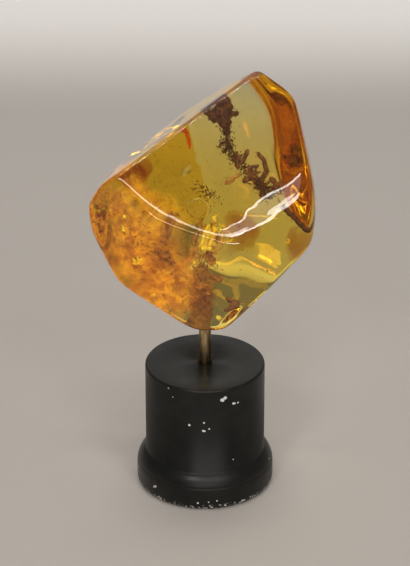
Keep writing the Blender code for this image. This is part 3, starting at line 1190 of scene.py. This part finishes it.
    def build_litter(
        self, stone: CopalStone, litter: Litter, material: bpy.types.Material
    ) -> bpy.types.Object:
        """Strews slivers and crumbs along a path.

        Args:
            stone: the stone that holds them.
            litter: where they lie, and how many.
            material: their finish.

        Returns:
            The litter as one piece.
        """
        draw = random.Random(litter.name)
        plane = stone.parting()
        shape = bmesh.new()
        for _ in range(litter.count):
            leg = draw.randrange(len(litter.path) - 1)
            share = draw.random()
            (left, low), (right, high) = litter.path[leg : leg + 2]
            across = left + (right - left) * share + draw.gauss(0.0, litter.spread)
            up = low + (high - low) * share + draw.gauss(0.0, litter.spread)
            middle = Vector((across, up, draw.gauss(0.0, self.sliver_depth))) * MM
            turned = spun(draw) @ tilted(0.0, draw.gauss(0.0, self.sliver_lean))
            size = Vector([draw.uniform(*span) for span in self.sliver_sizes])
            if stone.holds(plane @ middle, size.x):
                add_ball(shape, plane @ Matrix.Translation(middle) @ turned @ sized(size))
        return finish_piece(shape, litter.name, material, litter.slot)

    def build(self, stone: CopalStone) -> None:
        """Builds all that is sealed in the stone."""
        finishes = self.finishes()
        for litter in self.strewn:
            self.build_litter(stone, litter, finishes[litter.slot])
        for scrap in self.scraps:
            self.build_scrap(scrap, finishes[scrap.slot])
        self.build_dust(stone, finishes[Slot.CRUMB])


@dataclass(frozen=True)
class Cloud:
    """A soft-edged region on the parting plane, by its middle and its half-sizes in mm."""

    name: str
    middle: Point
    size: Point


@dataclass
class Flow:
    """What makes the resin uneven: deeper clouds, dusty veils, golden haze and painted glints on bright
    flakes.

    Places and the sizes of clouds, glints and haze are in mm over the parting plane.
    """

    deep: tuple[Cloud, ...] = (
        Cloud("corner", (-27.0, 2.5, -1.0), (6.5, 6.5, 5.0)),
        Cloud("lower_left", (-15.0, -14.0, -1.0), (12.0, 11.0, 7.0)),
        Cloud("bottom", (-5.0, -26.0, -1.0), (7.5, 6.5, 5.0)),
    )
    brown: tuple[Cloud, ...] = (
        Cloud("middle", (11.6, -7.6, 0.0), (5.6, 4.6, 3.8)),
        Cloud("side", (28.5, -11.0, 0.0), (3.6, 4.5, 3.6)),
        Cloud("column", (1.0, -25.0, -3.0), (4.6, 9.0, 4.0)),
    )
    dusty: tuple[Cloud, ...] = (
        Cloud("corner", (-25.0, 4.5, 0.5), (6.5, 4.5, 4.0)),
        Cloud("left", (-20.0, -5.0, 0.0), (10.0, 8.0, 5.0)),
        Cloud("low", (-9.0, -20.0, 0.0), (10.0, 9.0, 4.0)),
        Cloud("middle", (1.0, -13.0, 0.0), (5.0, 9.0, 3.0)),
        Cloud("column", (1.0, -24.0, -1.0), (4.5, 8.0, 4.0)),
    )
    deep_tint: TintFinish = TintFinish("orange_resin", (1.0, 0.76, 0.25), 26.0)
    brown_tint: TintFinish = TintFinish("brown_resin", (0.82, 0.56, 0.30), 260.0)
    cloud_fineness: int = 4
    cloud_rough: float = 0.5
    veils_each: int = 44
    veil_seed: int = 3
    veil_size: float = 1.3 * MM
    veil_widths: Pair = (0.4, 1.2)
    veil_heights: Pair = (0.5, 1.0)
    veil_thickness: float = 0.12
    veil_spread: float = 0.5
    veil_lean: Pair = (-0.5, 0.5)
    veil_rough: float = 0.6
    veil: VeilFinish = VeilFinish("dust_veil", (0.72, 0.33, 0.045), (0.34, 0.125, 0.02), 0.45, 700.0)
    # Painted glints: the flakes' bright yellow stands for light caught in cracks in the resin.
    flake: VeilFinish = VeilFinish("painted_glint_flake", (1.0, 0.95, 0.16), (1.0, 0.70, 0.05), 1.0, 500.0)
    flakes: int = 8
    flake_seed: int = 11
    flake_spread: float = 0.55
    flake_widths: Pair = (0.25, 0.9)
    flake_thickness: float = 0.06 * MM
    flake_rough: float = 0.7
    flake_lean_back: Pair = (-0.5, 0.25)
    flake_lean_aside: Pair = (0.0, 0.4)
    sheet_fineness: int = 3
    # Where the painted glints lie, and how large they are.
    glints: tuple[Spot, ...] = (
        ((3.3, -9.6, 1.5), 2.4),
        ((-22.2, -0.7, 1.0), 0.7),
        ((-22.5, -4.6, 1.0), 0.6),
        ((-18.5, -14.6, 1.0), 1.4),
        ((26.2, -10.4, 0.5), 0.8),
        ((6.2, -33.5, 0.5), 0.8),
        ((-1.3, -14.4, 1.5), 0.7),
        ((-14.5, -26.0, 0.5), 0.6),
        ((-10.0, -18.0, 0.5), 0.5),
        ((-26.5, 1.5, 0.5), 0.5),
    )
    hazy: tuple[Point, ...] = ((-27.5, 1.5, 12.0), (-18.0, -10.0, 16.0), (-9.0, -23.0, 15.0))
    haze_depths: tuple[float, ...] = (-7.5, -5.5, -3.5, -1.8)
    haze_thickness: float = 0.08 * MM
    haze_margin: float = 0.8 * MM
    haze_least: float = 0.2 * MM
    haze_pull: float = 0.93
    blob_waves: float = 1.6
    blob_variety: float = 300.0

    def blob(self, shape: bmesh.types.BMesh, place: Matrix, fineness: int, rough: float) -> None:
        """Adds one closed lumpy blob.

        Args:
            shape: what it is added to.
            place: its place, turn and half-sizes.
            fineness: subdivisions of the ball that it starts from.
            rough: how far it is pushed in and out, as a share of its size.
        """
        shift = place.translation * self.blob_variety
        for point in add_ball(shape, Matrix(), fineness):
            swell = 1.0 + rough * noise.noise(point.co * self.blob_waves + shift)
            point.co = place @ (point.co * swell)

    def build_tints(self, stone: CopalStone) -> None:
        """Sets the deeper clouds."""
        plane = stone.parting()
        kinds = (("orange_cloud", self.deep, self.deep_tint), ("brown_cloud", self.brown, self.brown_tint))
        for name, clouds, finish in kinds:
            material = finish.mix()
            for cloud in clouds:
                shape = bmesh.new()
                place = Matrix.Translation(Vector(cloud.middle) * MM) @ sized(Vector(cloud.size) * MM)
                self.blob(shape, plane @ place, self.cloud_fineness, self.cloud_rough)
                # Like the stone's skin, a cloud must not keep the lamps from what lies in it.
                finish_piece(shape, f"{name}_{cloud.name}", material, Slot.COPAL).visible_shadow = False

    def build_veils(self, stone: CopalStone) -> None:
        """Strews thin dusty veils through each dusty region."""
        plane = stone.parting()
        draw = random.Random(self.veil_seed)
        material = self.veil.mix()
        for cloud in self.dusty:
            shape = bmesh.new()
            for _ in range(self.veils_each):
                spread = [
                    max(-1.0, min(1.0, draw.gauss(0.0, self.veil_spread))) * half for half in cloud.size
                ]
                middle = (Vector(cloud.middle) + Vector(spread)) * MM
                if not stone.holds(plane @ middle, self.veil_size):
                    continue
                lean = tilted(draw.uniform(*self.veil_lean), draw.uniform(*self.veil_lean))
                wide = self.veil_size * draw.uniform(*self.veil_widths)
                size = sized((wide, wide * draw.uniform(*self.veil_heights), wide * self.veil_thickness))
                place = plane @ Matrix.Translation(middle) @ lean @ spun(draw) @ size
                self.blob(shape, place, self.sheet_fineness, self.veil_rough)
            finish_piece(shape, f"dust_veil_{cloud.name}", material, Slot.CRUMB)

    def build_glints(self, stone: CopalStone) -> None:
        """Sets the clusters of painted glints: bright yellow flakes, which lean back to catch the light."""
        plane = stone.parting()
        draw = random.Random(self.flake_seed)
        shape = bmesh.new()
        for centre, size in self.glints:
            for _ in range(self.flakes):
                middle = (Vector(centre) + scattered(draw, self.flake_spread * size)) * MM
                if not stone.holds(plane @ middle, size * MM):
                    continue
                lean = tilted(draw.gauss(*self.flake_lean_back), draw.gauss(*self.flake_lean_aside))
                wide, tall = (size * draw.uniform(*self.flake_widths) * MM for _ in range(2))
                place = plane @ Matrix.Translation(middle) @ lean @ sized((wide, tall, self.flake_thickness))
                self.blob(shape, place, self.sheet_fineness, self.flake_rough)
        finish_piece(shape, "painted_glint_flakes", self.flake.mix(), Slot.CRUMB)

    def build_haze(self, stone: CopalStone) -> None:
        """Lays sheets of haze one behind the other, each pulled in where it would leave the stone."""
        plane = stone.parting()
        places = []
        for across, up, radius in self.hazy:
            middle = plane @ (Vector((across, up, 0.0)) * MM)
            places.append((tuple(middle), radius * MM))
        material = HazeFinish().mix(places)
        for number, ((across, up, radius), depth) in enumerate(product(self.hazy, self.haze_depths)):
            shape = bmesh.new()
            middle = Vector((across, up, depth)) * MM
            for point in add_ball(shape, Matrix(), self.sheet_fineness):
                reach = Vector((point.co.x, point.co.y, 0.0)) * radius * MM
                while reach.length > self.haze_least:
                    if stone.holds(plane @ (middle + reach), self.haze_margin):
                        break
                    reach *= self.haze_pull
                point.co = plane @ (middle + reach + Vector((0.0, 0.0, point.co.z * self.haze_thickness)))
            finish_piece(shape, f"golden_haze_{number}", material, Slot.CRUMB)

    def build(self, stone: CopalStone) -> None:
        """Builds the clouds, the veils, the haze and the bright flakes."""
        self.build_tints(stone)
        self.build_veils(stone)
        self.build_haze(stone)
        self.build_glints(stone)


@dataclass(frozen=True)
class Lamp:
    """A soft panel of light, aimed at the stone."""

    name: str
    bearing: float
    rise: float
    distance: float
    width: float
    depth: float
    power: float
    tint: Colour = (1.0, 0.97, 0.93)


@dataclass
class Studio:
    """The pale floor, the lights and the camera."""

    aim: Vector = field(default_factory=lambda: Vector((0.0, 0.0, 73.9)) * MM)
    tilt: float = math.radians(27.4)
    distance: float = 900.0 * MM
    focal_pixels: float = 2735.0
    tall_pixels: float = 566.0
    film: float = 36.0
    floor_size: float = 8.0
    surround: Colour = (0.80, 0.78, 0.76)
    surround_strength: float = 0.205
    nearest: float = 50.0 * MM
    clear_bounces: int = 40
    mirror_bounces: int = 16
    sheet_bounces: int = 32
    lamps: tuple[Lamp, ...] = (
        Lamp("left_key", -113.0, 41.0, 2.0, 0.19, 0.19, 3.8),
        Lamp("high_strip", -89.0, 39.0, 2.4, 2.3, 0.26, 17.0),
        Lamp("low_strip", -86.0, 13.0, 2.4, 2.2, 0.11, 9.0),
        Lamp("window_top", -60.0, 47.0, 2.4, 0.40, 0.06, 1.0),
        Lamp("window_pane", -59.0, 40.0, 2.4, 0.38, 0.5, 1.0),
        Lamp("window_sill", -58.0, 33.0, 2.4, 0.40, 0.13, 2.2),
        Lamp("overhead_strip", -100.0, 80.0, 2.2, 1.6, 0.05, 9.0),
        Lamp("back_ceiling", 90.0, 70.0, 2.2, 1.8, 0.7, 10.0),
        Lamp("back_wall", 90.0, 26.0, 3.0, 3.2, 1.0, 7.0),
    )

    def build_floor(self) -> None:
        """Lays the floor."""
        shape = bmesh.new()
        bmesh.ops.create_grid(shape, x_segments=1, y_segments=1, size=self.floor_size / 2)
        floor = put("floor", mesh_of(shape, "floor", FloorFinish().mix()))

    def build_lamp(self, lamp: Lamp) -> None:
        """Hangs one panel of light."""
        data = bpy.data.lights.new(lamp.name, "AREA")
        data.shape = "RECTANGLE"
        data.size = lamp.width
        data.size_y = lamp.depth
        data.energy = lamp.power
        data.color = lamp.tint
        light = put(lamp.name, data)
        away = facing(lamp.bearing, lamp.rise)
        light.location = self.aim + away * lamp.distance
        light.rotation_euler = away.to_track_quat("Z", "Y").to_euler()

    def build_surround(self) -> None:
        """Fills the room with even light."""
        world = bpy.data.worlds.new("surround")
        world.use_nodes = True
        background = world.node_tree.nodes["Background"]
        background.inputs["Color"].default_value = (*self.surround, 1.0)
        background.inputs["Strength"].default_value = self.surround_strength
        bpy.context.scene.world = world

    def build_camera(self) -> None:
        """Sets up the camera at the photograph's angle."""
        data = bpy.data.cameras.new("camera")
        data.sensor_width = self.film
        data.lens = self.film * self.focal_pixels / self.tall_pixels
        data.clip_start = self.nearest
        camera = put("camera", data)
        back = Vector((0.0, -math.cos(self.tilt), math.sin(self.tilt)))
        camera.location = self.aim + back * self.distance
        camera.rotation_euler = back.to_track_quat("Z", "Y").to_euler()
        bpy.context.scene.camera = camera

    def build(self) -> None:
        """Sets up the studio."""
        self.build_floor()
        self.build_surround()
        for lamp in self.lamps:
            self.build_lamp(lamp)
        self.build_camera()
        scene = bpy.context.scene
        scene.view_settings.view_transform = "Standard"
        scene.cycles.max_bounces = self.clear_bounces
        scene.cycles.transmission_bounces = self.clear_bounces
        scene.cycles.glossy_bounces = self.mirror_bounces
        scene.cycles.transparent_max_bounces = self.sheet_bounces


def main() -> None:
    """Builds the part and its studio."""
    logging.basicConfig(level=logging.INFO, format="%(name)s: %(message)s")
    stone = CopalStone()
    Stand().build()
    mounting = Mounting()
    mounting.build_rod()
    mounting.build_cement()
    stone.build()
    Sealed().build(stone)
    Flow().build(stone)
    Studio().build()


if __name__ == "__main__":
    main()
